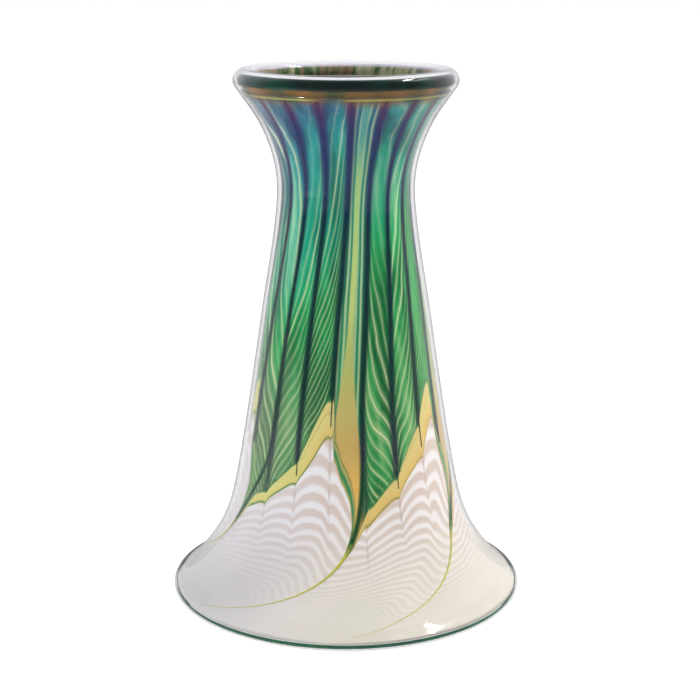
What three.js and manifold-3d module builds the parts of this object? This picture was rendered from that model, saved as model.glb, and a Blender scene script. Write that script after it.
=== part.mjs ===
// A hand blown glass vase with a pulled feather pattern, in millimetres, +Z up, standing on z = 0.
// The wall is a stack of glass layers. From the outside in, they are the clear casing, the canes
// and threads, the coloured overlays, and the core gather that holds the water.
import * as THREE from "three";
import { mergeVertices } from "three/addons/utils/BufferGeometryUtils.js";
import Module from "manifold-3d";

const wasm = await Module();
wasm.setup();

// ---- Driving dimensions ----
const HEIGHT = 230;
const FOOT_RADIUS = 77.3;
const NECK_RADIUS = 29.4;
const LIP_RADIUS = 47.5;

// The wall's outer outline between the foot's edge and the lip's roll, as [height, radius].
const WALL_STATIONS = [
  [4.6, 74.8],
  [10, 68.9],
  [18, 62.4],
  [28, 56.1],
  [40, 51.4],
  [60, 47.1],
  [90, 42.1],
  [130, 36.0],
  [162, 30.9],
  [181, NECK_RADIUS],
  [195, 31.7],
  [209, 37.6],
  [222, 46.5],
];

// ---- Layers of the wall, as depths below the outer surface ----
const SHELL_GAP = 0.4;
const THREAD_GAP = 0.65;
const CASING_THICKNESS = 1.5;
const THREAD_THICKNESS = 0.6;
const OVERLAY_THICKNESS = 1.0;
const CORE_THICKNESS = 1.6;
const THREAD_DEPTH = CASING_THICKNESS + THREAD_GAP;
const OVERLAY_DEPTH = THREAD_DEPTH + THREAD_THICKNESS + THREAD_GAP;
const CORE_DEPTH = OVERLAY_DEPTH + OVERLAY_THICKNESS + SHELL_GAP;
const WALL_THICKNESS = CORE_DEPTH + CORE_THICKNESS;

// ---- Foot and base ----
const FOOT_NOSE_RADIUS = 2.4;
const FOOT_NOSE_SHELL = 0.8;
const FOOT_NOSE_ARC = [-90, 30];
const FOOT_RING_RADIUS = 1;
const REST_INNER_RADIUS = 62;
const KICK_HEIGHT = 4;
const KICK_FLAT_RADIUS = 14;
const BASE_THICKNESS = 2.2;
const FLOOR_THICKNESS = 4;
const FLOOR_CORNER_RISE = 2;
const FLOOR_CORNER_RUN = 6;
const PONTIL_RADIUS = 11;
const PONTIL_THICKNESS = 1.6;
const PONTIL_BEVEL = 0.5;

// ---- Rolled lip ----
const LIP_ROLL_RADIUS = 5;
const LIP_WRAP_RADIUS = LIP_ROLL_RADIUS - CASING_THICKNESS - SHELL_GAP;
const LIP_CENTRE_RADIUS = LIP_RADIUS - LIP_ROLL_RADIUS;
const LIP_CENTRE_HEIGHT = HEIGHT - LIP_ROLL_RADIUS;
const LIP_OUTER_ARC = [-20, 200];
const LIP_INNER_ARC = [200, -30];
const LIP_GROOVE_DROP = 2;
const LAYERS_TOP = 217.5;

// ---- Pulled pattern ----
const CANE_COUNT = 19;
const PULL_STRIDE = 4;
const PULL_COUNT = 5;
const CANE_PITCH = 360 / CANE_COUNT;
const FIRST_PULL_ANGLE = 10;
const LEAN_ANGLE = 12;
const LEAN_START = 80;
const CANE_TOP = 214;
const CANE_TIP = 64;
const LONG_CANE_TIP = 45;
const CANE_WIDTH = 3;
const CANE_POINT_WIDTH = 0.8;
const THREAD_WIDTH = 1.6;
const THREAD_FOOT_WIDTH = 0.9;
const THREAD_BOTTOM = 5.2;
const TWIST_ANGLE = -72;
const TWIST_TOP = 62;
const TWIST_POWER = 2.2;
const LOBE_LOW = 40;
const LOBE_PEAK = 80;
const LOBE_PEAK_SHARE = 0.84;
const LOBE_TWIST = -8;
const AMBER_HEIGHT = 11;
const EDGE_GAP = 0.6;
const RING_INNER = 15;
const RING_OUTER = 90;
const RING_BOTTOM = -10;

// ---- Mesh resolution ----
const SEGMENTS = 48;
const NOSE_STEPS = 4;
const LIP_STEPS = 8;
const RING_SIDES = 8;
const WALL_LEVELS = 18;
const LEVEL_CROWDING = 0.11;
const LEVEL_MARGIN = 1;
const THREAD_STEPS = 16;

const WALL_BOTTOM = WALL_STATIONS[0][0];
const WALL_TOP = WALL_STATIONS[WALL_STATIONS.length - 1][0];
const fullTurn = 2 * Math.PI;
const radians = THREE.MathUtils.degToRad;
const { clamp, lerp, smoothstep } = THREE.MathUtils;

// Outer radius of the wall at a height: a smooth cubic through the stations.
function wallRadius(height) {
  const last = WALL_STATIONS.length - 1;
  const z = clamp(height, WALL_BOTTOM, WALL_TOP);
  let i = 0;
  while (i < last - 1 && z > WALL_STATIONS[i + 1][0]) i += 1;
  const [z0, r0] = WALL_STATIONS[i];
  const [z1, r1] = WALL_STATIONS[i + 1];
  const t = (z - z0) / (z1 - z0);
  const startSlope = stationSlope(i) * (z1 - z0);
  const endSlope = stationSlope(i + 1) * (z1 - z0);
  const startBlend = (1 + 2 * t) * (1 - t) ** 2;
  const endBlend = t * t * (3 - 2 * t);
  return startBlend * r0 + t * (1 - t) ** 2 * startSlope + endBlend * r1 - t * t * (1 - t) * endSlope;
}

function stationSlope(i) {
  const before = WALL_STATIONS[Math.max(i - 1, 0)];
  const after = WALL_STATIONS[Math.min(i + 1, WALL_STATIONS.length - 1)];
  return (after[1] - before[1]) / (after[0] - before[0]);
}

// Heights that every layer of the wall shares, so that nested layers keep their gap. They crowd
// towards the foot and the lip, where the outline curves most.
function sharedHeights() {
  const heights = [];
  for (let i = 0; i <= WALL_LEVELS; i += 1) {
    const share = i / WALL_LEVELS;
    heights.push(lerp(WALL_BOTTOM, WALL_TOP, share - LEVEL_CROWDING * Math.sin(share * fullTurn)));
  }
  return heights;
}

// The shared heights that lie between two heights, with those two at the ends.
function heightsBetween(from, to) {
  const low = Math.min(from, to) + LEVEL_MARGIN;
  const high = Math.max(from, to) - LEVEL_MARGIN;
  const inside = sharedHeights().filter((height) => height > low && height < high);
  if (from > to) inside.reverse();
  return [from, ...inside, to];
}

// Outline points of the wall at a depth below its outer surface, from one height to another.
function wallOutline(depth, from, to) {
  return heightsBetween(from, to).map((height) => new THREE.Vector2(wallRadius(height) - depth, height));
}

// Points of a round stretch of an outline, in degrees from the outward direction.
function arcOutline(centreRadius, centreHeight, radius, [from, to], steps) {
  const points = [];
  for (let i = 0; i <= steps; i += 1) {
    const angle = radians(lerp(from, to, i / steps));
    const r = centreRadius + radius * Math.cos(angle);
    points.push(new THREE.Vector2(r, centreHeight + radius * Math.sin(angle)));
  }
  return points;
}

// Closed outline of a round rod that runs as a ring round the axis.
function rodOutline(centreRadius, centreHeight, radius) {
  const lastSide = 360 - 360 / RING_SIDES;
  return arcOutline(centreRadius, centreHeight, radius, [0, lastSide], RING_SIDES - 1);
}

// A solid of revolution about +Z from an outline of [radius, height] points, listed
// anticlockwise. An outline that doesn't start on the axis closes on itself.
function revolve(outline) {
  const points = outline.map((point) => point.clone());
  if (points[0].x > 0) points.push(points[0].clone());
  const solid = new THREE.LatheGeometry(points, SEGMENTS);
  solid.rotateX(Math.PI / 2);
  return solid;
}

// A closed solid from rings of points. The rings join one to the next; the first and last
// are closed by flat ends, unless the rings go all the way round.
function skin(rings, endless) {
  const sides = rings[0].length;
  const positions = rings.flat(2);
  const triangles = [];
  const joins = endless ? rings.length : rings.length - 1;
  for (let i = 0; i < joins; i += 1) {
    const here = i * sides;
    const next = ((i + 1) % rings.length) * sides;
    for (let j = 0; j < sides; j += 1) {
      const k = (j + 1) % sides;
      triangles.push(here + j, next + j, next + k, here + j, next + k, here + k);
    }
  }
  if (!endless) {
    const end = (rings.length - 1) * sides;
    for (let j = 1; j < sides - 1; j += 1) {
      triangles.push(0, j, j + 1, end, end + j + 1, end + j);
    }
  }
  const solid = new THREE.BufferGeometry();
  solid.setAttribute("position", new THREE.Float32BufferAttribute(positions, 3));
  solid.setIndex(triangles);
  solid.computeVertexNormals();
  return solid;
}

// Closed geometry to and from a solid that can be cut.
function toSolid(geometry) {
  const bare = geometry.clone();
  bare.deleteAttribute("normal");
  bare.deleteAttribute("uv");
  const merged = mergeVertices(bare);
  const vertProperties = Float32Array.from(merged.attributes.position.array);
  const triVerts = Uint32Array.from(merged.index.array);
  return new wasm.Manifold(new wasm.Mesh({ numProp: 3, vertProperties, triVerts }));
}

function toGeometry(solid) {
  const { vertProperties, triVerts } = solid.getMesh();
  const geometry = new THREE.BufferGeometry();
  geometry.setAttribute("position", new THREE.BufferAttribute(vertProperties, 3));
  geometry.setIndex(new THREE.BufferAttribute(triVerts, 1));
  geometry.computeVertexNormals();
  return geometry;
}

function polarPoint(radius, angle, height) {
  return [radius * Math.cos(angle), radius * Math.sin(angle), height];
}

// A pattern angle is measured in degrees from the front, which faces -Y, and grows towards +X.
function turnOf(patternAngle) {
  return radians(patternAngle - 90);
}

// ---- Layers ----
function clearCasing() {
  const noseCentre = FOOT_RADIUS - FOOT_NOSE_RADIUS;
  const noseHollow = FOOT_NOSE_RADIUS - FOOT_NOSE_SHELL;
  const lipHollow = LIP_ROLL_RADIUS - CASING_THICKNESS;
  const hollowArc = [FOOT_NOSE_ARC[1], FOOT_NOSE_ARC[0]];
  return revolve([
    new THREE.Vector2(0, KICK_HEIGHT),
    new THREE.Vector2(KICK_FLAT_RADIUS, KICK_HEIGHT),
    new THREE.Vector2(REST_INNER_RADIUS, 0),
    ...arcOutline(noseCentre, FOOT_NOSE_RADIUS, FOOT_NOSE_RADIUS, FOOT_NOSE_ARC, NOSE_STEPS),
    ...wallOutline(0, WALL_BOTTOM, WALL_TOP),
    ...arcOutline(LIP_CENTRE_RADIUS, LIP_CENTRE_HEIGHT, LIP_ROLL_RADIUS, LIP_OUTER_ARC, LIP_STEPS),
    ...arcOutline(LIP_CENTRE_RADIUS, LIP_CENTRE_HEIGHT, lipHollow, LIP_INNER_ARC, LIP_STEPS - 1),
    ...wallOutline(CASING_THICKNESS, WALL_TOP - LIP_GROOVE_DROP, WALL_BOTTOM),
    ...arcOutline(noseCentre, FOOT_NOSE_RADIUS, noseHollow, hollowArc, NOSE_STEPS),
    new THREE.Vector2(REST_INNER_RADIUS, BASE_THICKNESS),
    new THREE.Vector2(KICK_FLAT_RADIUS, KICK_HEIGHT + BASE_THICKNESS),
    new THREE.Vector2(0, KICK_HEIGHT + BASE_THICKNESS),
  ]);
}

function coreGather() {
  const under = BASE_THICKNESS + SHELL_GAP;
  const floor = under + FLOOR_THICKNESS;
  const corner = floor + FLOOR_CORNER_RISE;
  return revolve([
    new THREE.Vector2(0, KICK_HEIGHT + under),
    new THREE.Vector2(KICK_FLAT_RADIUS, KICK_HEIGHT + under),
    new THREE.Vector2(REST_INNER_RADIUS, under),
    new THREE.Vector2(wallRadius(WALL_BOTTOM) - CORE_DEPTH, under),
    ...wallOutline(CORE_DEPTH, WALL_BOTTOM, LAYERS_TOP),
    ...wallOutline(WALL_THICKNESS, LAYERS_TOP, corner),
    new THREE.Vector2(wallRadius(corner) - WALL_THICKNESS - FLOOR_CORNER_RUN, floor),
    new THREE.Vector2(KICK_FLAT_RADIUS, KICK_HEIGHT + floor),
    new THREE.Vector2(0, KICK_HEIGHT + floor),
  ]);
}

function lipWrap() {
  return revolve(rodOutline(LIP_CENTRE_RADIUS, LIP_CENTRE_HEIGHT, LIP_WRAP_RADIUS));
}

function footRing() {
  return revolve(rodOutline(FOOT_RADIUS - FOOT_NOSE_RADIUS, FOOT_NOSE_RADIUS, FOOT_RING_RADIUS));
}

function pontilDisc() {
  const top = KICK_HEIGHT - SHELL_GAP;
  return revolve([
    new THREE.Vector2(0, top - PONTIL_THICKNESS),
    new THREE.Vector2(PONTIL_RADIUS - PONTIL_BEVEL, top - PONTIL_THICKNESS),
    new THREE.Vector2(PONTIL_RADIUS, top - PONTIL_THICKNESS + PONTIL_BEVEL),
    new THREE.Vector2(PONTIL_RADIUS, top),
    new THREE.Vector2(0, top),
  ]);
}

// ---- Overlays: rings whose top and bottom edges wave round the body ----
function lobeEdge(patternAngle) {
  const turn = THREE.MathUtils.euclideanModulo(patternAngle - FIRST_PULL_ANGLE - LOBE_TWIST, 360);
  const fullLobe = PULL_STRIDE * CANE_PITCH;
  const lobe = Math.min(Math.floor(turn / fullLobe), PULL_COUNT - 1);
  const width = lobe === PULL_COUNT - 1 ? 360 - lobe * fullLobe : fullLobe;
  const share = (turn - lobe * fullLobe) / width;
  const rise = Math.min(share / LOBE_PEAK_SHARE, (1 - share) / (1 - LOBE_PEAK_SHARE));
  return lerp(LOBE_LOW, LOBE_PEAK, rise);
}

// A ring that reaches through the whole wall, from below the foot up to an edge that waves
// round it.
function ringBelow(edge) {
  const rings = [];
  for (let i = 0; i < SEGMENTS; i += 1) {
    const patternAngle = (i * 360) / SEGMENTS;
    const turn = turnOf(patternAngle);
    const top = edge(patternAngle);
    rings.push([
      polarPoint(RING_OUTER, turn, RING_BOTTOM),
      polarPoint(RING_OUTER, turn, top),
      polarPoint(RING_INNER, turn, top),
      polarPoint(RING_INNER, turn, RING_BOTTOM),
    ]);
  }
  return toSolid(skin(rings, true));
}

function overlayShell() {
  const bottom = BASE_THICKNESS + SHELL_GAP;
  return revolve([
    ...wallOutline(OVERLAY_DEPTH, bottom, LAYERS_TOP),
    ...wallOutline(OVERLAY_DEPTH + OVERLAY_THICKNESS, LAYERS_TOP, bottom),
  ]);
}

function skirtOverlay(topEdge) {
  return toGeometry(toSolid(overlayShell()).intersect(ringBelow(topEdge)));
}

function bandOverlay(bottomEdge, topEdge) {
  const shell = toSolid(overlayShell());
  return toGeometry(shell.intersect(ringBelow(topEdge)).subtract(ringBelow(bottomEdge)));
}

function bodyOverlay(bottomEdge) {
  return toGeometry(toSolid(overlayShell()).subtract(ringBelow(bottomEdge)));
}

const amberBottom = (angle) => lobeEdge(angle) + EDGE_GAP;
const amberTop = (angle) => lobeEdge(angle) + AMBER_HEIGHT;
const greenBottom = (angle) => amberTop(angle) + EDGE_GAP;

// ---- Canes and threads: flattened strips that follow a path round the body ----
function leanAt(height) {
  return LEAN_ANGLE * smoothstep(height, LEAN_START, CANE_TOP);
}

function twistAt(height) {
  const below = clamp((TWIST_TOP - height) / TWIST_TOP, 0, 1);
  return TWIST_ANGLE * below ** TWIST_POWER;
}

function strip(patternAngle, heights, bottomWidth, topWidth) {
  const bottom = heights[0];
  const top = heights[heights.length - 1];
  const rings = heights.map((height) => {
    const share = (height - bottom) / (top - bottom);
    const outer = wallRadius(height) - THREAD_DEPTH;
    const inner = outer - THREAD_THICKNESS;
    const middle = turnOf(patternAngle + leanAt(height) + twistAt(height));
    const half = lerp(bottomWidth, topWidth, Math.sin((share * Math.PI) / 2)) / 2 / outer;
    return [
      polarPoint(outer, middle - half, height),
      polarPoint(inner, middle - half, height),
      polarPoint(inner, middle + half, height),
      polarPoint(outer, middle + half, height),
    ];
  });
  return skin(rings, false);
}

function isLongPull(index) {
  return index % PULL_STRIDE === 0 && index / PULL_STRIDE < PULL_COUNT;
}

function veinCane(index) {
  const tip = isLongPull(index) ? LONG_CANE_TIP : CANE_TIP;
  const angle = FIRST_PULL_ANGLE + index * CANE_PITCH;
  return strip(angle, heightsBetween(tip, CANE_TOP), CANE_POINT_WIDTH, CANE_WIDTH);
}

function trailThread(index) {
  const angle = FIRST_PULL_ANGLE + index * PULL_STRIDE * CANE_PITCH;
  const top = LONG_CANE_TIP - EDGE_GAP;
  const heights = [];
  for (let i = 0; i <= THREAD_STEPS; i += 1) heights.push(lerp(THREAD_BOTTOM, top, i / THREAD_STEPS));
  return strip(angle, heights, THREAD_FOOT_WIDTH, THREAD_WIDTH);
}

// ---- Materials ----
function glass(color, roughness, opacity = 1) {
  return new THREE.MeshStandardMaterial({
    color,
    roughness,
    metalness: 0,
    opacity,
    transparent: opacity < 1,
  });
}

const clearGlass = glass(0xe8ecea, 0.03, 0.3);
const emeraldGlass = glass(0x1f7a50, 0.05);
const opalGlass = glass(0xf0ece8, 0.12);
const amberGlass = glass(0xcdb469, 0.1);
const greenGlass = glass(0x28784c, 0.08);
const veinGlass = glass(0x00322c, 0.08);
const trailGlass = glass(0xbebe50, 0.1);

const vase = new THREE.Group();

function place(name, geometry, material) {
  const mesh = new THREE.Mesh(geometry, material);
  mesh.name = name;
  vase.add(mesh);
}

place("clear_casing", clearCasing(), clearGlass);
place("core_gather", coreGather(), emeraldGlass);
place("lip_wrap", lipWrap(), veinGlass);
place("foot_ring", footRing(), veinGlass);
place("pontil_disc", pontilDisc(), clearGlass);
place("opal_skirt", skirtOverlay(lobeEdge), opalGlass);
place("amber_band", bandOverlay(amberBottom, amberTop), amberGlass);
place("green_overlay", bodyOverlay(greenBottom), greenGlass);
for (let i = 0; i < CANE_COUNT; i += 1) {
  place(`vein_cane_${String(i + 1).padStart(2, "0")}`, veinCane(i), veinGlass);
}
for (let i = 0; i < PULL_COUNT; i += 1) {
  place(`trail_thread_${i + 1}`, trailThread(i), trailGlass);
}

export default vase;
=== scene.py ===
"""Hand blown art glass vase: its looks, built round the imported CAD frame.

The wall is modelled as it was blown. A clear casing with a rolled lip and a thin foot covers dark
canes and yellow-green threads, which lie on three coloured overlays, which lie on the emerald core.
The pulled feather pattern is worked out from the angle and height on the body by one set of
functions, which serve both numpy arrays (for the meshes) and shader nodes (for the colours).
"""

import math

import bpy
import numpy as np
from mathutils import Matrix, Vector


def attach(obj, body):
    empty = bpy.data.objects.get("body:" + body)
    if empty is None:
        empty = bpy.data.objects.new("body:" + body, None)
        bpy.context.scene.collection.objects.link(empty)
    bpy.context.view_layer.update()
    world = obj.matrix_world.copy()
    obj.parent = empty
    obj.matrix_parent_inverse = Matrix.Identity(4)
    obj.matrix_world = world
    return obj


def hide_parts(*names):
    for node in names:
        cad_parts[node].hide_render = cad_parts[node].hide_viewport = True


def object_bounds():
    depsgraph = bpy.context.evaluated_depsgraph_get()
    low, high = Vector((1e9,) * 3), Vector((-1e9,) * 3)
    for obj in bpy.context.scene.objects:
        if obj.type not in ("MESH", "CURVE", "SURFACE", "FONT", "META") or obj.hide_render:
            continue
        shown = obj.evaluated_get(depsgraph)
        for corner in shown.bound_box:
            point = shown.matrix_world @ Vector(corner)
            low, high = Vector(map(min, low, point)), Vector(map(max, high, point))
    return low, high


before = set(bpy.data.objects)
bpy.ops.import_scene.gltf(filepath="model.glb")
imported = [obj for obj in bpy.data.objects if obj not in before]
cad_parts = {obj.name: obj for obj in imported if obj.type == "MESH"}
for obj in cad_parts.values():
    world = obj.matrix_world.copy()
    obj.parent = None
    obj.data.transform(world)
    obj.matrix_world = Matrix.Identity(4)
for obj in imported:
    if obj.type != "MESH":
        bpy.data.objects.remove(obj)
cad_low, cad_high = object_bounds()

# ---- Sizes, in metres, from the frame ----
MM = 0.001
HEIGHT = cad_high.z
FOOT_RADIUS = cad_high.x
SCALE = HEIGHT / (230 * MM)
LIP_RADIUS = 47.5 * MM * SCALE
LIP_ROLL = 5.0 * MM * SCALE

# The same in millimetres of a vase 230 mm tall, which the meshes are worked out in.
foot_radius = FOOT_RADIUS / MM / SCALE
lip_centre_radius = (LIP_RADIUS - LIP_ROLL) / MM / SCALE
lip_roll = LIP_ROLL / MM / SCALE
lip_height = HEIGHT / MM / SCALE - lip_roll

# The wall's outer outline between the foot's edge and the rolled lip: height and radius in mm.
WALL_STATIONS = [
    (4.6, 74.8),
    (10, 68.9),
    (18, 62.4),
    (28, 56.1),
    (40, 51.4),
    (60, 47.1),
    (90, 42.1),
    (130, 36.0),
    (162, 30.9),
    (181, 29.4),
    (195, 31.7),
    (209, 37.6),
    (222, 46.5),
]
WALL_BOTTOM = WALL_STATIONS[0][0]
WALL_TOP = WALL_STATIONS[-1][0]

# Depths below the outer surface, in mm. All layers thin out together towards the foot.
CASING_DEPTH = 1.5
THREAD_DEPTH = 1.75
THREAD_THICKNESS = 0.35
OVERLAY_DEPTH = 2.2
OVERLAY_THICKNESS = 0.8
CORE_DEPTH = 3.3
WALL_DEPTH = 6.4

LAYERS_TOP = 221.6
FOOT_NOSE = 2.4
FOOT_THINNING = 0.3
THIN_BELOW = 4
FULL_ABOVE = 22
TURN_STEPS = 240
FINE_STEPS = 480


# ---- Numbers that are numpy arrays or shader nodes ----
class Field:
    """A number that varies over a surface, held by shader nodes. Arithmetic on it adds nodes."""

    def __init__(self, tree, socket):
        self.tree = tree
        self.socket = socket

    def math(self, operation, *others):
        node = self.tree.nodes.new("ShaderNodeMath")
        node.operation = operation
        for place, value in zip(node.inputs, (self, *others)):
            feed(self.tree, place, value)
        return Field(self.tree, node.outputs[0])

    def __add__(self, other):
        return self.math("ADD", other)

    def __sub__(self, other):
        return self.math("SUBTRACT", other)

    def __mul__(self, other):
        return self.math("MULTIPLY", other)

    def __truediv__(self, other):
        return self.math("DIVIDE", other)

    def __neg__(self):
        return self.math("MULTIPLY", -1.0)

    def __rsub__(self, other):
        return (-self).math("ADD", other)

    __radd__ = __add__
    __rmul__ = __mul__


def feed(tree, place, value):
    """Set a node's input to a number, or link it to a Field."""
    if isinstance(value, Field):
        tree.links.new(value.socket, place)
    else:
        place.default_value = value


def sine(x):
    """Sine of an angle in degrees."""
    if isinstance(x, Field):
        return (x * math.radians(1)).math("SINE")
    return np.sin(np.radians(x))


def cosine(x):
    return sine(x + 90)


def decay(x):
    """e to the power of minus x."""
    return (-x).math("EXPONENT") if isinstance(x, Field) else np.exp(-x)


def absolute(x):
    return x.math("ABSOLUTE") if isinstance(x, Field) else np.abs(x)


def whole(x):
    return x.math("FLOOR") if isinstance(x, Field) else np.floor(x)


def part(x):
    """What is left of x above the whole number below it."""
    return x - whole(x)


def smallest(x, y):
    return x.math("MINIMUM", y) if isinstance(x, Field) else np.minimum(x, y)


def largest(x, y):
    return x.math("MAXIMUM", y) if isinstance(x, Field) else np.maximum(x, y)


def smooth(x, low, high):
    """0 below low, 1 above high, and a smooth step between."""
    if isinstance(x, Field):
        node = x.tree.nodes.new("ShaderNodeMapRange")
        node.interpolation_type = "SMOOTHSTEP"
        x.tree.links.new(x.socket, node.inputs["Value"])
        feed(x.tree, node.inputs["From Min"], low)
        feed(x.tree, node.inputs["From Max"], high)
        return Field(x.tree, node.outputs["Result"])
    t = np.clip((x - low) / (high - low), 0, 1)
    return t * t * (3 - 2 * t)


def bump_at(x, centre, width):
    """1 at centre, falling smoothly to 0 at width away on both sides."""
    return 1 - smooth(absolute(x - centre), 0, width)


# ---- The pulled pattern: angles in degrees from the front (-Y) towards +X, heights in mm ----
CANES = 19
PITCH = 360 / CANES
PULLS = 5
STRIDE = 4
FIRST_PULL = 10.0
LEAN = 12.0
LEAN_LOW = 80
LEAN_HIGH = 214
TWIST = 95.0
TWIST_HEIGHT = 14.3
SWAY = 8.0
SWAY_PHASE = 6.0
SWAY_TOP = 75
SWAY_BOTTOM = 30

# What fills each space between two canes, from the first pull on: how far its barbs fall to
# the right, how far it is a tongue, and how coarse its barbs are.
CELL_LOOKS = {
    "leaf": (1.0, 0.0, 0.9),
    "flame": (0.0, 0.0, 0.7),
    "fan": (0.0, 0.0, 0.0),
    "tongue": (0.0, 1.0, 0.0),
}
CELL_KINDS = ["leaf", "flame", "fan", "tongue"] * 3
CELL_KINDS += ["leaf", "fan", "leaf", "leaf", "flame", "fan", "tongue"]


def lean(height):
    """How far the canes lean round the body at a height."""
    return LEAN * smooth(height, LEAN_LOW, LEAN_HIGH)


def untwist(angle, height):
    """The angle that a point had before the skirt was twisted and the neck leaned."""
    turned = angle - lean(height) + TWIST * decay(height / TWIST_HEIGHT)
    sway = SWAY * (1 - cosine((turned - SWAY_PHASE) * 3))
    return turned + sway * (1 - smooth(height, SWAY_BOTTOM, SWAY_TOP))


def retwist(combed, height):
    """The angle where a combed angle lies at a height: the inverse of untwist."""
    guess = combed + 0 * height
    for _ in range(40):
        guess = guess + 0.7 * (combed - untwist(guess, height))
    return guess


def lobe_place(combed):
    """0 at a long pull to 1 at the next long pull to its right, for a combed angle."""
    turn = part((combed - FIRST_PULL) / 360)
    full = PITCH * STRIDE / 360
    last_start = full * (PULLS - 1)
    in_last = smooth(turn, last_start - 1e-4, last_start + 1e-4)
    regular = part(turn / full)
    last = (turn - last_start) / (1 - last_start)
    return regular + (last - regular) * in_last


def cane_distance(angle, height):
    """Degrees from the nearest cane, which is negative to the left of it."""
    place = (angle - lean(height) - FIRST_PULL) / PITCH + 0.5
    return (part(place) - 0.5) * PITCH


# The white skirt's edge along a lobe, from one long pull to the next: its lowest height in mm, and
# the smooth steps that it climbs and then falls by, each with the places where it starts and ends.
LOBE_LOW = 30
LOBE_CLIMBS = [(14, 0, 0.07), (8, 0.05, 0.27), (14, 0.2, 0.5), (17, 0.42, 0.69)]
LOBE_FALLS = [(10, 0.69, 0.72), (12, 0.7, 0.82), (8, 0.8, 0.92), (8, 0.89, 0.955), (15, 0.94, 1.0)]


def lobe_height(place):
    """Height of the white skirt's edge along a lobe: a slow climb, a peak and a steep fall."""
    height = LOBE_LOW
    for step, start, end in LOBE_CLIMBS:
        height = height + step * smooth(place, start, end)
    for step, start, end in LOBE_FALLS:
        height = height - step * smooth(place, start, end)
    return height


def white_edge(angle, height):
    """Height of the white skirt's edge, which dips in a cusp under each cane."""
    cusp = 4 * decay(absolute(cane_distance(angle, height)) / 2.5)
    place = lobe_place(untwist(angle, height))
    return lobe_height(place) - cusp * smooth(place, 0.03, 0.12) * (1 - smooth(place, 0.72, 0.8))


# ---- Meshes ----
def wall_radius(height):
    """Outer radius of the wall, in mm: a smooth cubic through the stations."""
    z = np.array([s[0] for s in WALL_STATIONS], float)
    r = np.array([s[1] for s in WALL_STATIONS], float)
    slope = np.empty_like(r)
    slope[1:-1] = (r[2:] - r[:-2]) / (z[2:] - z[:-2])
    slope[0] = (r[1] - r[0]) / (z[1] - z[0])
    slope[-1] = (r[-1] - r[-2]) / (z[-1] - z[-2])
    h = np.clip(height, z[0], z[-1])
    i = np.clip(np.searchsorted(z, h, side="right") - 1, 0, len(z) - 2)
    step = z[i + 1] - z[i]
    t = (h - z[i]) / step
    value = (1 + 2 * t) * (1 - t) ** 2 * r[i] + t * t * (3 - 2 * t) * r[i + 1]
    return value + t * (1 - t) ** 2 * slope[i] * step - t * t * (1 - t) * slope[i + 1] * step


def thinning(height):
    """Share of the full layer depths that the wall has at a height."""
    return FOOT_THINNING + (1 - FOOT_THINNING) * smooth(height, THIN_BELOW, FULL_ABOVE)


def layer_radius(height, depth):
    """Radius of the layer at a depth below the outer surface: the wall, and the nose under it.
    Below its lowest station the wall runs on at the same slope until it meets the nose."""
    height = np.asarray(height, float)
    inset = depth * thinning(height)
    centre = foot_radius - FOOT_NOSE
    reach = FOOT_NOSE - inset
    nose = centre + np.sqrt(reach**2 - np.clip(height - FOOT_NOSE, -reach, reach) ** 2)
    (low_z, low_r), (next_z, next_r) = WALL_STATIONS[:2]
    flare = (next_r - low_r) / (next_z - low_z) * np.minimum(height - low_z, 0)
    wall = wall_radius(height) + flare - inset
    return np.where(height < FOOT_NOSE, nose, np.minimum(nose, wall))


def polar(angle, radius, height):
    """Points in metres from angles in degrees and radii and heights in mm."""
    turn = np.radians(angle)
    return np.stack([radius * np.sin(turn), -radius * np.cos(turn), height], -1) * MM * SCALE


def mesh_piece(name, points, faces, nodes, material):
    """A smooth mesh piece that stands for CAD nodes and rides on the root body."""
    mesh = bpy.data.meshes.new(name)
    mesh.from_pydata(points.tolist(), [], faces)
    mesh.validate()
    mesh.shade_smooth()
    mesh.materials.append(material)
    piece = bpy.data.objects.new(name, mesh)
    bpy.context.scene.collection.objects.link(piece)
    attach(piece, "root")
    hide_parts(*nodes)
    return piece


def grid_faces(rows, columns, wrap_rows, wrap_columns):
    """Quads of a grid of points, which may close on itself either way."""
    row_count = rows if wrap_rows else rows - 1
    column_count = columns if wrap_columns else columns - 1
    i, j = np.meshgrid(np.arange(row_count), np.arange(column_count), indexing="ij")
    i2 = (i + 1) % rows
    j2 = (j + 1) % columns
    corners = [i * columns + j, i * columns + j2, i2 * columns + j2, i2 * columns + j]
    return np.stack(corners, -1).reshape(-1, 4).tolist()


def revolve(name, outline, nodes, material, steps=TURN_STEPS):
    """A body of revolution from [radius, height] points in mm, anticlockwise from the outside
    upwards. An outline with its ends on the axis is closed there by two poles."""
    outline = np.array(outline, float)
    on_axis = outline[0, 0] < 1e-6
    ring = outline[1:-1] if on_axis else outline
    angles = np.arange(steps) * 360 / steps
    a, r = np.meshgrid(angles, ring[:, 0])
    h = np.broadcast_to(ring[:, 1:2], a.shape)
    points = polar(a, r, h).reshape(-1, 3)
    faces = grid_faces(len(ring), steps, not on_axis, True)
    if on_axis:
        poles = polar(np.zeros(2), np.zeros(2), outline[[0, -1], 1])
        first, last = len(points), len(points) + 1
        top = (len(ring) - 1) * steps
        for j in range(steps):
            k = (j + 1) % steps
            faces.append([first, k, j])
            faces.append([last, top + j, top + k])
        points = np.concatenate([points, poles])
    return mesh_piece(name, points, faces, nodes, material)


def wall_outline(depth, start, end, count):
    """[radius, height] points down or up the wall at a depth below its outer surface."""
    heights = np.linspace(start, end, count)
    return [[r, z] for r, z in zip(layer_radius(heights, depth), heights)]


def arc(centre_r, centre_z, radius, start, end, count):
    """[radius, height] points round a centre, from one angle to another."""
    turn = np.radians(np.linspace(start, end, count))
    return [[centre_r + radius * math.cos(t), centre_z + radius * math.sin(t)] for t in turn]


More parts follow.
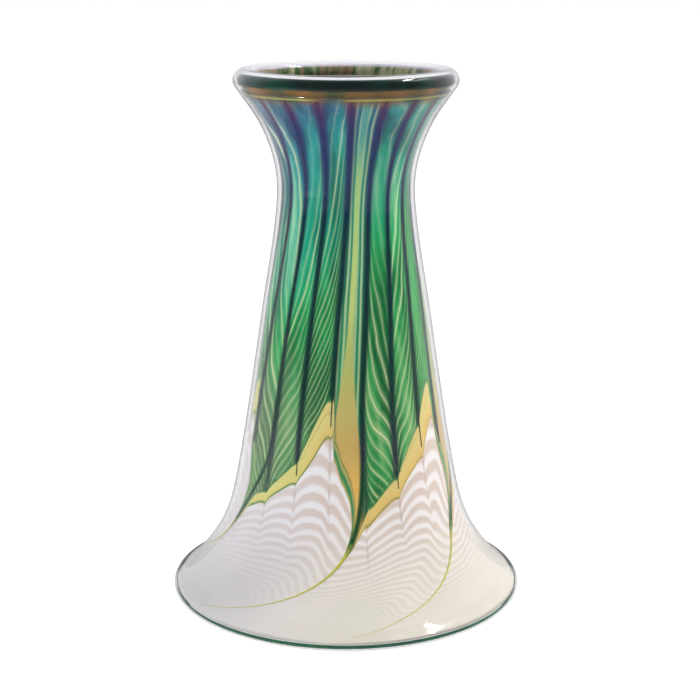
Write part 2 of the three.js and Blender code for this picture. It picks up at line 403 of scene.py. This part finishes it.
def overlay(name, bottom, top, rows, material):
    """A closed ring of overlay glass between two edges given for each combed angle."""
    combed = np.arange(FINE_STEPS) * 360 / FINE_STEPS
    low, high = bottom(combed), top(combed)
    share = np.linspace(0, 1, rows)[:, None]
    heights = low + (high - low) * share
    angles = retwist(np.broadcast_to(combed, heights.shape), heights)
    outer = polar(angles, layer_radius(heights, OVERLAY_DEPTH), heights)
    inner = polar(angles, layer_radius(heights, OVERLAY_DEPTH + OVERLAY_THICKNESS), heights)
    points = np.concatenate([outer, inner[::-1]]).reshape(-1, 3)
    faces = grid_faces(rows * 2, FINE_STEPS, True, True)
    return mesh_piece(name, points, faces, [name], material)


def strip(name, angles, heights, widths, material):
    """A flattened cane along a path round the body, with a rounded back and pointed ends."""
    across = np.linspace(-1, 1, 7)[None, :]
    radius = layer_radius(heights, THREAD_DEPTH)[:, None]
    flat = layer_radius(heights, THREAD_DEPTH + THREAD_THICKNESS)[:, None] + 0 * across
    half = np.degrees(widths[:, None] / 2 / radius)
    back = radius - (radius - flat) * across**2 * 0.7
    front = polar(angles[:, None] + half * across, back, heights[:, None] + 0 * across)
    rear = polar(angles[:, None] + half * across, flat, heights[:, None] + 0 * across)
    section = np.concatenate([front, rear[:, ::-1]], 1)
    rows, columns = section.shape[:2]
    faces = grid_faces(rows, columns, False, True)
    faces.append(list(range(columns))[::-1])
    faces.append([(rows - 1) * columns + j for j in range(columns)])
    return mesh_piece(name, section.reshape(-1, 3), faces, [name], material)


# ---- Materials ----
def srgb(red, green, blue):
    """Linear colour from sRGB values of 0 to 255."""
    def linear(value):
        value /= 255
        return value / 12.92 if value <= 0.04045 else ((value + 0.055) / 1.055) ** 2.4
    return (linear(red), linear(green), linear(blue), 1.0)


def new_material(name):
    """A new material with its node tree and its main shader."""
    material = bpy.data.materials.new(name)
    material.use_nodes = True
    tree = material.node_tree
    shader = tree.nodes["Principled BSDF"]
    return material, tree, shader


def make_matte(shader):
    """Take the shine off glass that lies under the casing, which has all the shine."""
    shader.inputs["Roughness"].default_value = 0.5
    shader.inputs["Specular IOR Level"].default_value = 0.0


def surface_place(tree):
    """Angle in degrees from the front, and height in mm, of the point that is shaded."""
    coordinates = tree.nodes.new("ShaderNodeTexCoord")
    split = tree.nodes.new("ShaderNodeSeparateXYZ")
    tree.links.new(coordinates.outputs["Object"], split.inputs[0])
    x, y, z = (Field(tree, output) for output in split.outputs)
    angle = x.math("ARCTAN2", -y) * math.degrees(1)
    return angle, z * (1 / MM / SCALE), coordinates.outputs["Object"]


def noise(tree, vector, scale, detail=2.0, stretch=(1, 1, 1)):
    """Smooth noise of about 0 to 1 over the object."""
    mapping = tree.nodes.new("ShaderNodeMapping")
    mapping.inputs["Scale"].default_value = stretch
    tree.links.new(vector, mapping.inputs["Vector"])
    node = tree.nodes.new("ShaderNodeTexNoise")
    node.inputs["Scale"].default_value = scale
    node.inputs["Detail"].default_value = detail
    tree.links.new(mapping.outputs[0], node.inputs["Vector"])
    return Field(tree, node.outputs["Fac"])


def blend(tree, factor, first, second):
    """Colour that goes from first to second as factor goes from 0 to 1."""
    node = tree.nodes.new("ShaderNodeMix")
    node.data_type = "RGBA"
    tree.links.new(factor.socket, node.inputs["Factor"])
    for place, colour in ((node.inputs["A"], first), (node.inputs["B"], second)):
        if isinstance(colour, tuple):
            place.default_value = colour
        else:
            tree.links.new(colour, place)
    return node.outputs["Result"]


def random_of(number):
    """A random value of 0 to 1 for each whole number."""
    node = number.tree.nodes.new("ShaderNodeTexWhiteNoise")
    node.noise_dimensions = "1D"
    number.tree.links.new(number.socket, node.inputs["W"])
    return Field(number.tree, node.outputs["Value"])


def logarithm(x):
    return x.math("LOGARITHM", math.e)


def ramp_node(factor, stops, interpolation):
    """Colour ramp over a factor of 0 to 1, from pairs of place and colour."""
    node = factor.tree.nodes.new("ShaderNodeValToRGB")
    ramp = node.color_ramp
    ramp.interpolation = interpolation
    while len(ramp.elements) < len(stops):
        ramp.elements.new(1.0)
    for element, (place, colour) in zip(ramp.elements, stops):
        element.position = place
        element.color = colour
    factor.tree.links.new(factor.socket, node.inputs["Fac"])
    return node.outputs["Color"]


def by_height(height, stops):
    """Colour that changes with height, from pairs of height in mm and sRGB colour."""
    top = HEIGHT / MM / SCALE
    return ramp_node(height / top, [(z / top, srgb(*colour)) for z, colour in stops], "EASE")


def cell_looks(cell):
    """Of the space between two canes: how far its barbs fall to the right, how far it is a
    tongue, and how coarse its barbs are."""
    stops = [(index / CANES, (*CELL_LOOKS[kind], 1)) for index, kind in enumerate(CELL_KINDS)]
    middle_of_cell = part((whole(cell) + 0.5) / CANES)
    colour = ramp_node(middle_of_cell, stops, "CONSTANT")
    split = cell.tree.nodes.new("ShaderNodeSeparateColor")
    cell.tree.links.new(colour, split.inputs[0])
    return [Field(cell.tree, output) for output in split.outputs]


SCALLOP_COUNT = 6.7
SCALLOP_ORIGIN = 8


def shade_skirt(tree, angle, height, place, above, vector):
    """White opal with fine combed scallops, which hang in cusps at the canes and fade below, with
    painted cool shade on the left side.
    """
    near_cane = absolute(cane_distance(angle, height))
    wander = noise(tree, vector, 55, 3) - 0.5
    crown = 0.72 + 0.28 * smooth(place, 0.0, 0.6) - 0.28 * smooth(place, 0.68, 1.0)
    hang = 4.2 * decay(near_cane / 3.0) * smooth(height, 22, 46)
    level = largest((height + hang + wander * 2.4) / crown - SCALLOP_ORIGIN, 1)
    scallop = part(SCALLOP_COUNT * logarithm(level))
    edge = smooth(scallop, 0.0, 0.2) * (1 - smooth(scallop, 0.42, 0.7))
    strength = 0.36 + 0.64 * smooth(height, 12, 50)
    beige = blend(tree, smooth(height, 15, 60), srgb(214, 206, 194), srgb(216, 199, 186))
    white = blend(tree, edge * strength, beige, srgb(238, 234, 231))
    comb_line = (1 - smooth(near_cane, 0.1, 1.0)) * smooth(above, -30, -4) * smooth(place, 0.08, 0.16)
    white = blend(tree, comb_line * 0.55, white, srgb(176, 158, 150))
    pearl = (1 - smooth(height, 4, 38)) * smooth(wander, -0.5, 0.4)
    white = blend(tree, pearl * 0.6, white, srgb(196, 198, 182))
    # Painted cool shade: the left side is greyer and bluer.
    cool = smooth(-sine(angle), -0.1, 0.8)
    return blend(tree, cool * 0.5, white, srgb(196, 194, 204))


def shade_amber(tree, above, angle, vector):
    """Ochre glass, paler higher up, and with a painted sheen that makes it greener on the left."""
    wander = noise(tree, vector, 50, 3) - 0.5
    amber = blend(tree, smooth(above, 0, 10) + wander, srgb(224, 188, 106), srgb(220, 202, 128))
    # Painted sheen: the left side is greener.
    painted_left_sheen = smooth(-sine(angle), -0.1, 0.7)
    return blend(tree, painted_left_sheen * 0.6, amber, srgb(196, 202, 122))


def shade_ground(tree, angle, height, vector, broad):
    """Green glass under the barbs: upright smears from deep to pale, with painted sheen that makes the
    left side bluer and painted shade that makes it duller low on the left.
    """
    # The angle term is painted sheen: it gives the left side the bluer colours of greater heights.
    high = height - 26 * sine(angle) + broad * 60
    smear = noise(tree, vector, 95, 3, (1, 1, 0.1))
    deep = by_height(high, [(80, (14, 96, 48)), (135, (10, 110, 56)), (178, (0, 110, 88)),
                            (205, (0, 92, 106)), (222, (10, 62, 104))])
    fresh = by_height(high, [(80, (60, 156, 84)), (135, (44, 170, 92)), (185, (30, 168, 136)),
                             (210, (20, 142, 142)), (226, (48, 112, 138))])
    pale = by_height(high, [(80, (150, 190, 124)), (135, (150, 208, 140)), (185, (140, 212, 170)),
                            (210, (104, 186, 160)), (226, (112, 156, 160))])
    ground = blend(tree, smooth(smear, 0.38, 0.58), deep, fresh)
    ground = blend(tree, smooth(smear, 0.55, 0.72) * 0.85, ground, pale)
    # Painted shade: the lower left is duller and greyer.
    painted_left_shade = smooth(-sine(angle), 0.1, 0.7) * (1 - smooth(height, 80, 125))
    return blend(tree, painted_left_shade * 0.6, ground, srgb(112, 130, 100))


def shade_feathers(tree, angle, cell, looks, height, vector):
    """Barbs that leave one cane low down and rise across the space to the next one."""
    falling, _, coarse = looks
    broad = noise(tree, vector, 26, 2, (1, 1, 0.5)) - 0.5
    wander = noise(tree, vector, 75, 3, (1, 1, 0.35)) - 0.5
    across = part(cell)
    toward = across + falling * (1 - 2 * across)
    share = smallest(largest(toward, 0.04), 0.96)
    steepness = 4.6 + 14 * smooth(height, 75, 190)
    start = height - steepness * logarithm(share / (1 - share))
    density = 17 - 10 * coarse
    sway = broad * (1.6 + 1.6 * coarse) + wander * 1.3
    barb = -density * decay((start - 80) / 58) + whole(cell) * 0.37 + sway
    strength = random_of(whole(barb) + whole(cell) * 17)
    ridge = part(barb)
    ground = shade_ground(tree, angle, height, vector, broad)
    halo = bump_at(ridge, 0.42, 0.42) * (0.1 + 0.9 * strength) * (0.36 + 0.44 * coarse)
    green = blend(tree, halo, ground, by_height(height, [(80, (150, 188, 118)), (170, (146, 204, 144)),
                                                         (212, (110, 170, 160))]))
    shadow = bump_at(ridge, 0.97, 0.16) * 0.35
    green = blend(tree, shadow, green, srgb(12, 84, 50))
    line = bump_at(ridge, 0.4, 0.09 + 0.03 * coarse) * (0.1 + 0.9 * strength)
    return blend(tree, line * 0.85, green, srgb(226, 222, 184))


def shade_tongue(tree, cell, height, vector):
    """The space left of a long pull: an amber tongue below, and upright streaks above it."""
    across = part(cell)
    wander = noise(tree, vector, 50, 2, (1, 1, 0.15)) - 0.5
    width = 0.07 + 0.36 * (1 - smooth(height, 62, 128))
    inside = 1 - smooth(absolute(across - 0.47 + wander * 0.1), width, width + 0.07)
    streak = part(across * 5.3 + wander * 2.2)
    line = bump_at(streak, 0.3, 0.28)
    pale = by_height(height, [(90, (96, 170, 118)), (190, (104, 176, 140)), (214, (64, 140, 150))])
    deep = by_height(height, [(90, (22, 120, 70)), (190, (20, 124, 96)), (214, (10, 84, 110))])
    green = blend(tree, smooth(streak, 0.3, 1.0), pale, deep)
    green = blend(tree, line * 0.75, green, srgb(192, 204, 152))
    gold = by_height(height, [(60, (222, 180, 96)), (76, (196, 168, 96)), (92, (190, 178, 104)),
                              (110, (178, 184, 106)), (140, (190, 208, 122)), (180, (168, 206, 126)),
                              (208, (80, 156, 146))])
    return blend(tree, inside, green, gold)


def vein_colour(height):
    """Dark green where the canes are pulled down, then near-black, blue and purple at the lip."""
    return by_height(height, [(40, (10, 78, 44)), (58, (10, 56, 44)), (70, (30, 28, 56)),
                              (92, (0, 56, 44)), (160, (0, 52, 58)), (188, (0, 42, 92)),
                              (206, (10, 30, 96)), (219, (66, 24, 84))])


def shade_vein(tree, angle, height, vector, colour):
    """The soft dark band that runs along each cane and spreads towards the lip."""
    waver = noise(tree, vector, 34, 2, (1, 1, 0.4)) - 0.5
    near_cane = absolute(cane_distance(angle, height) + waver * 3.2) + waver * 1.5
    spread = 3.6 + 2.2 * smooth(height, 120, 205)
    band = (1 - smooth(near_cane, 0.9, spread)) * (0.8 + 0.2 * smooth(height, 60, 90))
    return blend(tree, band, colour, vein_colour(height))


def shade_under_lip(tree, vector):
    """Brown glass with olive streaks, where the layers run out under the lip."""
    streaks = smooth(noise(tree, vector, 90, 2, (1, 1, 0.2)), 0.35, 0.65)
    return blend(tree, streaks, srgb(126, 84, 28), srgb(52, 66, 30))


def shade_body(tree, angle, height, place, above, vector):
    """Amber edge, green feathers and dark veins, and the brown glass under the lip."""
    cell = (angle - lean(height) - FIRST_PULL) / PITCH
    looks = cell_looks(cell)
    feathers = shade_feathers(tree, angle, cell, looks, height, vector)
    upper = blend(tree, looks[1], feathers, shade_tongue(tree, cell, height, vector))
    upper = shade_vein(tree, angle, height, vector, upper)
    wobble = noise(tree, vector, 45, 2) * 5
    brown = smooth(height + wobble, 219.5, 224) * 0.9
    upper = blend(tree, brown, upper, shade_under_lip(tree, vector))
    glint = bump_at(height, 220.6, 0.6) * smooth(wobble, 2.2, 2.9) * 0.7
    upper = blend(tree, glint, upper, srgb(176, 188, 88))
    thickness = 7 + 9 * smooth(place, 0.05, 0.6) - 9 * smooth(place, 0.68, 0.72)
    rim = smooth(above - thickness, -1.0, 1.0)
    body = blend(tree, rim, shade_amber(tree, above, angle, vector), upper)
    return blend(tree, bump_at(above - thickness, 0.8, 1.6) * 0.7, body, srgb(52, 116, 60))


def shade_pull(tree, height, place, colour):
    """The dark green line that the hook drew down through the amber."""
    gap = smallest(place, 1 - place) * STRIDE * PITCH
    core = (1 - smooth(gap, 0.9, 2.6)) * smooth(height, 28, 36) * (1 - smooth(height, 62, 78))
    return blend(tree, core * 0.95, colour, srgb(16, 84, 46))


def shade_pattern(tree, angle, height, vector):
    """Colour of the overlays: the white skirt, and above its wavy edge the feathered body."""
    place = lobe_place(untwist(angle, height))
    above = height - white_edge(angle, height)
    body = shade_body(tree, angle, height, place, above, vector)
    outline = bump_at(above, 0.9, 1.3) * (0.6 - 0.4 * sine(angle))
    steep = smooth(place, 0.68, 0.72)
    outline = largest(outline, bump_at(above, 3.4, 5.0) * steep)
    body = blend(tree, outline, body, srgb(40, 132, 82))
    body = shade_pull(tree, height, place, body)
    white = shade_skirt(tree, angle, height, place, above, vector)
    return blend(tree, smooth(above, -0.35, 0.25), white, body)


def pattern_material(name):
    """The pulled pattern. The three overlays share it, and each shows its own part of it."""
    material, tree, shader = new_material(name)
    angle, height, vector = surface_place(tree)
    tree.links.new(shade_pattern(tree, angle, height, vector), shader.inputs["Base Color"])
    make_matte(shader)
    return material


def buried_glass(name, colour):
    """Coloured glass under the casing, which has no shine of its own."""
    material, tree, shader = new_material(name)
    _, _, vector = surface_place(tree)
    shade = noise(tree, vector, 80, 3, (1, 1, 0.3))
    darker = tuple(channel * 0.55 for channel in colour[:3]) + (1.0,)
    tree.links.new(blend(tree, shade, colour, darker), shader.inputs["Base Color"])
    make_matte(shader)
    return material


def trail_material(name):
    """Yellow-green glass of the threads, which darkens where the pulled green runs into it."""
    material, tree, shader = new_material(name)
    _, height, vector = surface_place(tree)
    colour = by_height(height, [(5, (208, 210, 118)), (20, (206, 204, 92)), (31, (196, 190, 76)),
                                (THREAD_TOP, (62, 118, 58))])
    shade = noise(tree, vector, 80, 3, (1, 1, 0.3))
    colour = blend(tree, shade * 0.45, colour, srgb(118, 132, 52))
    tree.links.new(colour, shader.inputs["Base Color"])
    make_matte(shader)
    return material


def vein_material(name):
    """Streaked glass of the dark canes."""
    material, tree, shader = new_material(name)
    _, height, vector = surface_place(tree)
    streak = noise(tree, vector, 120, 2, (1, 1, 0.1))
    colour = blend(tree, streak * 0.4, vein_colour(height), srgb(4, 40, 40))
    tree.links.new(colour, shader.inputs["Base Color"])
    make_matte(shader)
    return material


INNER_SPIN = 0.35
INNER_STREAK = 0.006


def shade_inside(tree, angle, height):
    """Green with brown and pale streaks, which run up the inside and over the rim."""
    turned = angle + height * INNER_SPIN
    place = tree.nodes.new("ShaderNodeCombineXYZ")
    for socket, value in zip(place.inputs, (sine(turned), cosine(turned), height * INNER_STREAK)):
        feed(tree, socket, value)
    streak = noise(tree, place.outputs[0], 4.2, 5)
    stops = [
        (0.30, srgb(86, 62, 42)),
        (0.42, srgb(128, 112, 84)),
        (0.50, srgb(60, 92, 56)),
        (0.60, srgb(168, 166, 132)),
        (0.72, srgb(70, 98, 64)),
    ]
    return ramp_node(streak, stops, "EASE")


def core_material(name):
    """Streaked glass of the inner bubble, shiny because nothing covers it."""
    material, tree, shader = new_material(name)
    angle, height, _ = surface_place(tree)
    tree.links.new(shade_inside(tree, angle, height), shader.inputs["Base Color"])
    shader.inputs["Roughness"].default_value = 0.08
    return material


def lip_material(name):
    """Near-black emerald on the outside of the lip and brown under it, with a pale top of painted
    reflection and a streaked inside."""
    material, tree, shader = new_material(name)
    angle, height, vector = surface_place(tree)
    split = tree.nodes.new("ShaderNodeSeparateXYZ")
    tree.links.new(vector, split.inputs[0])
    x, y, _ = (Field(tree, output) for output in split.outputs)
    radius = (x * x + y * y).math("SQRT") / (MM * SCALE)
    outside = smooth(radius, lip_centre_radius - 0.8, lip_centre_radius + 0.8)
    streak = noise(tree, vector, 60, 3, (1, 1, 0.4))
    dark = blend(tree, smooth(streak, 0.4, 0.75), srgb(0, 18, 16), srgb(6, 66, 52))
    low = 1 - smooth(height, lip_height - 1.2, lip_height - 0.6)
    dark = blend(tree, low, dark, shade_under_lip(tree, vector))
    colour = blend(tree, outside, shade_inside(tree, angle, height), dark)
    # Painted reflection: a pale band over the top of the lip, where it mirrors the white backdrop.
    crest_reflection = smooth(height, lip_height + 1.6, lip_height + 2.9)
    crest_reflection = crest_reflection * (1 - smooth(radius, lip_centre_radius + 0.2, lip_centre_radius + 1.4))
    colour = blend(tree, crest_reflection * 0.9, colour, srgb(196, 190, 206))
    tree.links.new(colour, shader.inputs["Base Color"])
    make_matte(shader)
    return material


def clear_material(name):
    """Clear glass that lets light through to what lies under it."""
    material, tree, shader = new_material(name)
    shader.inputs["Base Color"].default_value = srgb(251, 251, 253)
    shader.inputs["Transmission Weight"].default_value = 1.0
    shader.inputs["Roughness"].default_value = 0.07
    shader.inputs["IOR"].default_value = 1.33
    path = tree.nodes.new("ShaderNodeLightPath")
    through = tree.nodes.new("ShaderNodeBsdfTransparent")
    mix = tree.nodes.new("ShaderNodeMixShader")
    output = tree.nodes["Material Output"]
    tree.links.new(path.outputs["Is Shadow Ray"], mix.inputs[0])
    tree.links.new(shader.outputs[0], mix.inputs[1])
    tree.links.new(through.outputs[0], mix.inputs[2])
    tree.links.new(mix.outputs[0], output.inputs["Surface"])
    return material


# ---- Pieces: sizes in mm, angles in degrees ----
BASE_THICKNESS = 2.2
KICK_HEIGHT = 4.0
KICK_FLAT = 14.0
KICK_ROUNDING = 0.1
REST_INNER = 62.0
FLOOR_THICKNESS = 4.0
BASE_GAP = 0.3
LAYER_STOP = 0.4
WALL_STEPS = 110
CORE_STEPS = 100

NOSE_TOP_ANGLE = 40
NOSE_STEPS = 12
LIP_OUTER_START = -25
LIP_INNER_END = -30
LIP_BACK_ANGLE = 200

LIP_WRAP_GAP = 0.15
RING_GAP = 0.15
RING_THICKNESS = 0.5
RING_TOP_ANGLE = 10

PONTIL_RADIUS = 11.0
PONTIL_THICKNESS = 1.4

EDGE_GAP = 0.04
SKIRT_BOTTOM = 2.85
AMBER_HEIGHT = 11.0

PULL_TIP = 37.0
TIP_RISE = 6.0
TAPER_SHARE = 0.28
CANE_TOP = LAYERS_TOP - 1.5
CANE_TIP_WIDTH = 0.25
CANE_WIDENING = 0.55

THREAD_BOTTOM = 4.9
THREAD_TOP = PULL_TIP - 0.3
THREAD_WIDTHS = [0.9, 1.6]


def build_casing(material):
    """The clear skin: it wraps the foot's nose and the lip, and closes the base."""
    nose = foot_radius - FOOT_NOSE
    hollow = FOOT_NOSE - CASING_DEPTH * FOOT_THINNING
    outline = [[0, KICK_HEIGHT], [KICK_FLAT - 2, KICK_HEIGHT]]
    outline += [[KICK_FLAT, KICK_HEIGHT - KICK_ROUNDING], [REST_INNER, 0.05], [REST_INNER + 1, 0]]
    outline += arc(nose, FOOT_NOSE, FOOT_NOSE, -90, NOSE_TOP_ANGLE, NOSE_STEPS)
    outline += wall_outline(0, WALL_BOTTOM + LAYER_STOP, WALL_TOP, WALL_STEPS)
    outline += arc(lip_centre_radius, lip_height, lip_roll, LIP_OUTER_START, LIP_BACK_ANGLE, 32)
    inner_roll = lip_roll - CASING_DEPTH
    outline += arc(lip_centre_radius, lip_height, inner_roll, LIP_BACK_ANGLE, LIP_INNER_END, 28)
    outline += wall_outline(CASING_DEPTH, WALL_TOP - 1.6, WALL_BOTTOM + LAYER_STOP, WALL_STEPS)
    outline += arc(nose, FOOT_NOSE, hollow, NOSE_TOP_ANGLE, -90, NOSE_STEPS)
    outline += [[REST_INNER, BASE_THICKNESS]]
    outline += [[KICK_FLAT, KICK_HEIGHT + BASE_THICKNESS], [0, KICK_HEIGHT + BASE_THICKNESS]]
    return revolve("clear_casing", outline, ["clear_casing"], material)


def build_core(material):
    """The inner bubble: a floor over the casing's base, and the wall behind the overlays."""
    under = BASE_THICKNESS + BASE_GAP
    floor = under + FLOOR_THICKNESS
    top = LAYERS_TOP - LAYER_STOP
    outline = [[0, KICK_HEIGHT + under], [KICK_FLAT, KICK_HEIGHT + under], [REST_INNER, under]]
    outline += [[float(layer_radius(WALL_BOTTOM, CORE_DEPTH)) - LAYER_STOP, under]]
    outline += wall_outline(CORE_DEPTH, WALL_BOTTOM, top, CORE_STEPS)
    outline += wall_outline(WALL_DEPTH, top, floor + 2, CORE_STEPS)
    outline += [[REST_INNER - 4, floor], [KICK_FLAT, KICK_HEIGHT + floor]]
    outline += [[0, KICK_HEIGHT + floor]]
    return revolve("core_gather", outline, ["core_gather"], material)


def build_lip_wrap(material):
    """The emerald rod that the casing is rolled round."""
    radius = lip_roll - CASING_DEPTH - LIP_WRAP_GAP
    outline = arc(lip_centre_radius, lip_height, radius, 0, 345, 24)
    return revolve("lip_wrap", outline, ["lip_wrap"], material)


def build_foot_ring(material):
    """A thin green line in the nose of the foot, under the white skirt's edge."""
    nose = foot_radius - FOOT_NOSE
    outer = FOOT_NOSE - OVERLAY_DEPTH * FOOT_THINNING + RING_GAP
    outline = arc(nose, FOOT_NOSE, outer, -88, RING_TOP_ANGLE, NOSE_STEPS)
    outline += arc(nose, FOOT_NOSE, outer - RING_THICKNESS, RING_TOP_ANGLE, -88, NOSE_STEPS)
    return revolve("foot_ring", outline, ["foot_ring"], material)


def build_pontil(material):
    """The polished disc in the hollow under the base, with a rounded lower edge."""
    top = KICK_HEIGHT - KICK_ROUNDING
    low = top - PONTIL_THICKNESS
    outline = [[0, low], [PONTIL_RADIUS - 1.4, low], [PONTIL_RADIUS - 0.4, low + 0.4]]
    outline += [[PONTIL_RADIUS, low + 1.0], [PONTIL_RADIUS, top], [0, top]]
    return revolve("pontil_disc", outline, ["pontil_disc"], material)


def skirt_top(combed):
    """Height of the white edge along each combed angle, where height and edge agree."""
    heights = np.full_like(combed, 60.0)
    for _ in range(60):
        angle = retwist(combed, heights)
        heights = heights + 0.4 * (white_edge(angle, heights) - heights)
    return heights


def build_overlays(materials):
    """The white, amber and green overlays, which meet along the wavy edge of the skirt."""
    edge_angles = np.arange(FINE_STEPS) * 360 / FINE_STEPS
    edges = skirt_top(edge_angles)
    bottom = np.full_like(edges, SKIRT_BOTTOM)
    top = np.full_like(edges, LAYERS_TOP)
    amber_top = edges + AMBER_HEIGHT
    opal, amber, green = materials
    overlay("opal_skirt", lambda _: bottom, lambda _: edges, 60, opal)
    overlay("amber_band", lambda _: edges + EDGE_GAP, lambda _: amber_top, 10, amber)
    overlay("green_overlay", lambda _: amber_top + EDGE_GAP, lambda _: top, 100, green)


def cane_tip(angle):
    """Height where a cane ends: a little above the white edge under it."""
    height = 70.0
    for _ in range(40):
        height += 0.5 * (white_edge(angle, height) + TIP_RISE - height)
    return float(height)


def build_canes(material):
    """Upright canes from the lip down to the skirt's edge; the long pulls run on below it."""
    for index in range(CANES):
        base = FIRST_PULL + index * PITCH
        is_pull = index % STRIDE == 0 and index // STRIDE < PULLS
        tip = PULL_TIP if is_pull else cane_tip(base)
        heights = np.linspace(tip, CANE_TOP, 60)
        angles = base + lean(heights)
        if is_pull:
            angles = retwist(np.full_like(heights, base), heights)
        share = (heights - tip) / (LAYERS_TOP - tip)
        widths = CANE_TIP_WIDTH + CANE_WIDENING * np.minimum(share / TAPER_SHARE, 1)
        name = f"vein_cane_{index + 1:02d}"
        strip(name, angles, heights, widths, material)


def build_threads(material):
    """Thin threads that run on from the long pulls and twist round the skirt to the foot."""
    for index in range(PULLS):
        heights = np.linspace(THREAD_BOTTOM, THREAD_TOP, 90)
        base = FIRST_PULL + index * STRIDE * PITCH
        angles = retwist(np.full_like(heights, base), heights)
        widths = np.interp(heights, [THREAD_BOTTOM, THREAD_TOP], THREAD_WIDTHS)
        name = f"trail_thread_{index + 1}"
        strip(name, angles, heights, widths, material)


# ---- Camera, floor and light ----
CAMERA_DISTANCE = 2.97 * HEIGHT
CAMERA_HEIGHT = 1.236 * HEIGHT
CAMERA_TILT = 75.5
CAMERA_LENS = 82.85
CAMERA_SHIFT = 0.0057

FLOOR_HALF = 6.0
FLOOR_DROP = 0.0002
FLOOR_ALBEDO = 0.35
FLOOR_GLOW = 0.88
GLASS_SKY = 0.4


def build_camera():
    """The photograph's view: high enough to see into the mouth, from about three heights away."""
    data = bpy.data.cameras.new("camera")
    data.sensor_width = 36
    data.lens = CAMERA_LENS
    data.shift_x = CAMERA_SHIFT
    camera = bpy.data.objects.new("camera", data)
    camera.location = (0, -CAMERA_DISTANCE, CAMERA_HEIGHT)
    camera.rotation_euler = (math.radians(CAMERA_TILT), 0, 0)
    bpy.context.scene.collection.objects.link(camera)
    bpy.context.scene.camera = camera


def build_floor():
    """A pale floor. It glows for the camera and through the glass, and so reads as white."""
    mesh = bpy.data.meshes.new("floor")
    half = FLOOR_HALF
    corners = [(-half, -half, 0), (half, -half, 0), (half, half, 0), (-half, half, 0)]
    mesh.from_pydata(corners, [], [(0, 1, 2, 3)])
    floor = bpy.data.objects.new("floor", mesh)
    floor.location.z = -FLOOR_DROP
    material, tree, shader = new_material("floor")
    shader.inputs["Base Color"].default_value = (FLOOR_ALBEDO, FLOOR_ALBEDO, FLOOR_ALBEDO, 1)
    shader.inputs["Roughness"].default_value = 0.9
    shader.inputs["Specular IOR Level"].default_value = 0.0
    shader.inputs["Emission Color"].default_value = (1, 1, 1, 1)
    path = tree.nodes.new("ShaderNodeLightPath")
    from_camera = Field(tree, path.outputs["Is Camera Ray"])
    through_glass = Field(tree, path.outputs["Is Transmission Ray"])
    glow = largest(from_camera, through_glass) * FLOOR_GLOW
    tree.links.new(glow.socket, shader.inputs["Emission Strength"])
    mesh.materials.append(material)
    bpy.context.scene.collection.objects.link(floor)


def area_light(name, position, target, size, power, colour=(1, 1, 1), mirrored=True):
    """A soft light aimed at a target. The casing shows a reflection only of a mirrored one."""
    data = bpy.data.lights.new(name, "AREA")
    data.shape = "RECTANGLE"
    data.size, data.size_y = size
    data.energy = power
    data.color = colour
    light = bpy.data.objects.new(name, data)
    light.location = position
    light.visible_glossy = mirrored
    light.visible_transmission = mirrored
    direction = Vector(target) - Vector(position)
    light.rotation_euler = direction.to_track_quat("-Z", "Y").to_euler()
    bpy.context.scene.collection.objects.link(light)


def build_light():
    """A white backdrop behind, a dim room in front, and four soft lights. The window is to the
    left, the fill to the front right and the ceiling above, and only the lamp is mirrored."""
    world = bpy.data.worlds.new("studio")
    bpy.context.scene.world = world
    world.use_nodes = True
    tree = world.node_tree
    background = tree.nodes["Background"]
    coordinates = tree.nodes.new("ShaderNodeTexCoord")
    split = tree.nodes.new("ShaderNodeSeparateXYZ")
    path = tree.nodes.new("ShaderNodeLightPath")
    tree.links.new(coordinates.outputs["Generated"], split.inputs[0])
    behind = smooth(Field(tree, split.outputs["Y"]), -0.2, 0.4)
    room = blend(tree, behind, (0.1, 0.1, 0.11, 1), (0.85, 0.85, 0.88, 1))
    through_glass = Field(tree, path.outputs["Is Transmission Ray"]) * GLASS_SKY
    white = largest(Field(tree, path.outputs["Is Camera Ray"]), through_glass)
    seen = blend(tree, white, room, (1, 1, 1, 1))
    tree.links.new(seen, background.inputs["Color"])
    middle = (0, 0, 0.5 * HEIGHT)
    area_light("lamp", (0.69, 0.1, 1.13), middle, (0.34, 0.07), 8, (1, 0.97, 0.93))
    cool = (0.97, 0.98, 1)
    area_light("window", (-0.95, -0.55, 0.3), middle, (0.45, 0.6), 7.5, cool, mirrored=False)
    area_light("fill", (0.85, -1.15, 0.25), middle, (0.6, 0.6), 4.9, mirrored=False)
    area_light("ceiling", (0, -0.5, 1.3), middle, (0.9, 0.9), 2.5, mirrored=False)


bpy.context.scene.view_settings.view_transform = "Standard"
build_camera()
build_floor()
build_light()

glass = clear_material("clear_glass")
build_casing(glass)
build_pontil(glass)
build_core(core_material("emerald_core"))
build_lip_wrap(lip_material("dark_emerald"))
build_foot_ring(buried_glass("foot_green", srgb(30, 96, 62)))
build_overlays([pattern_material(name) for name in ("opal_white", "amber_glass", "emerald_overlay")])
build_canes(vein_material("vein_glass"))
build_threads(trail_material("trail_glass"))
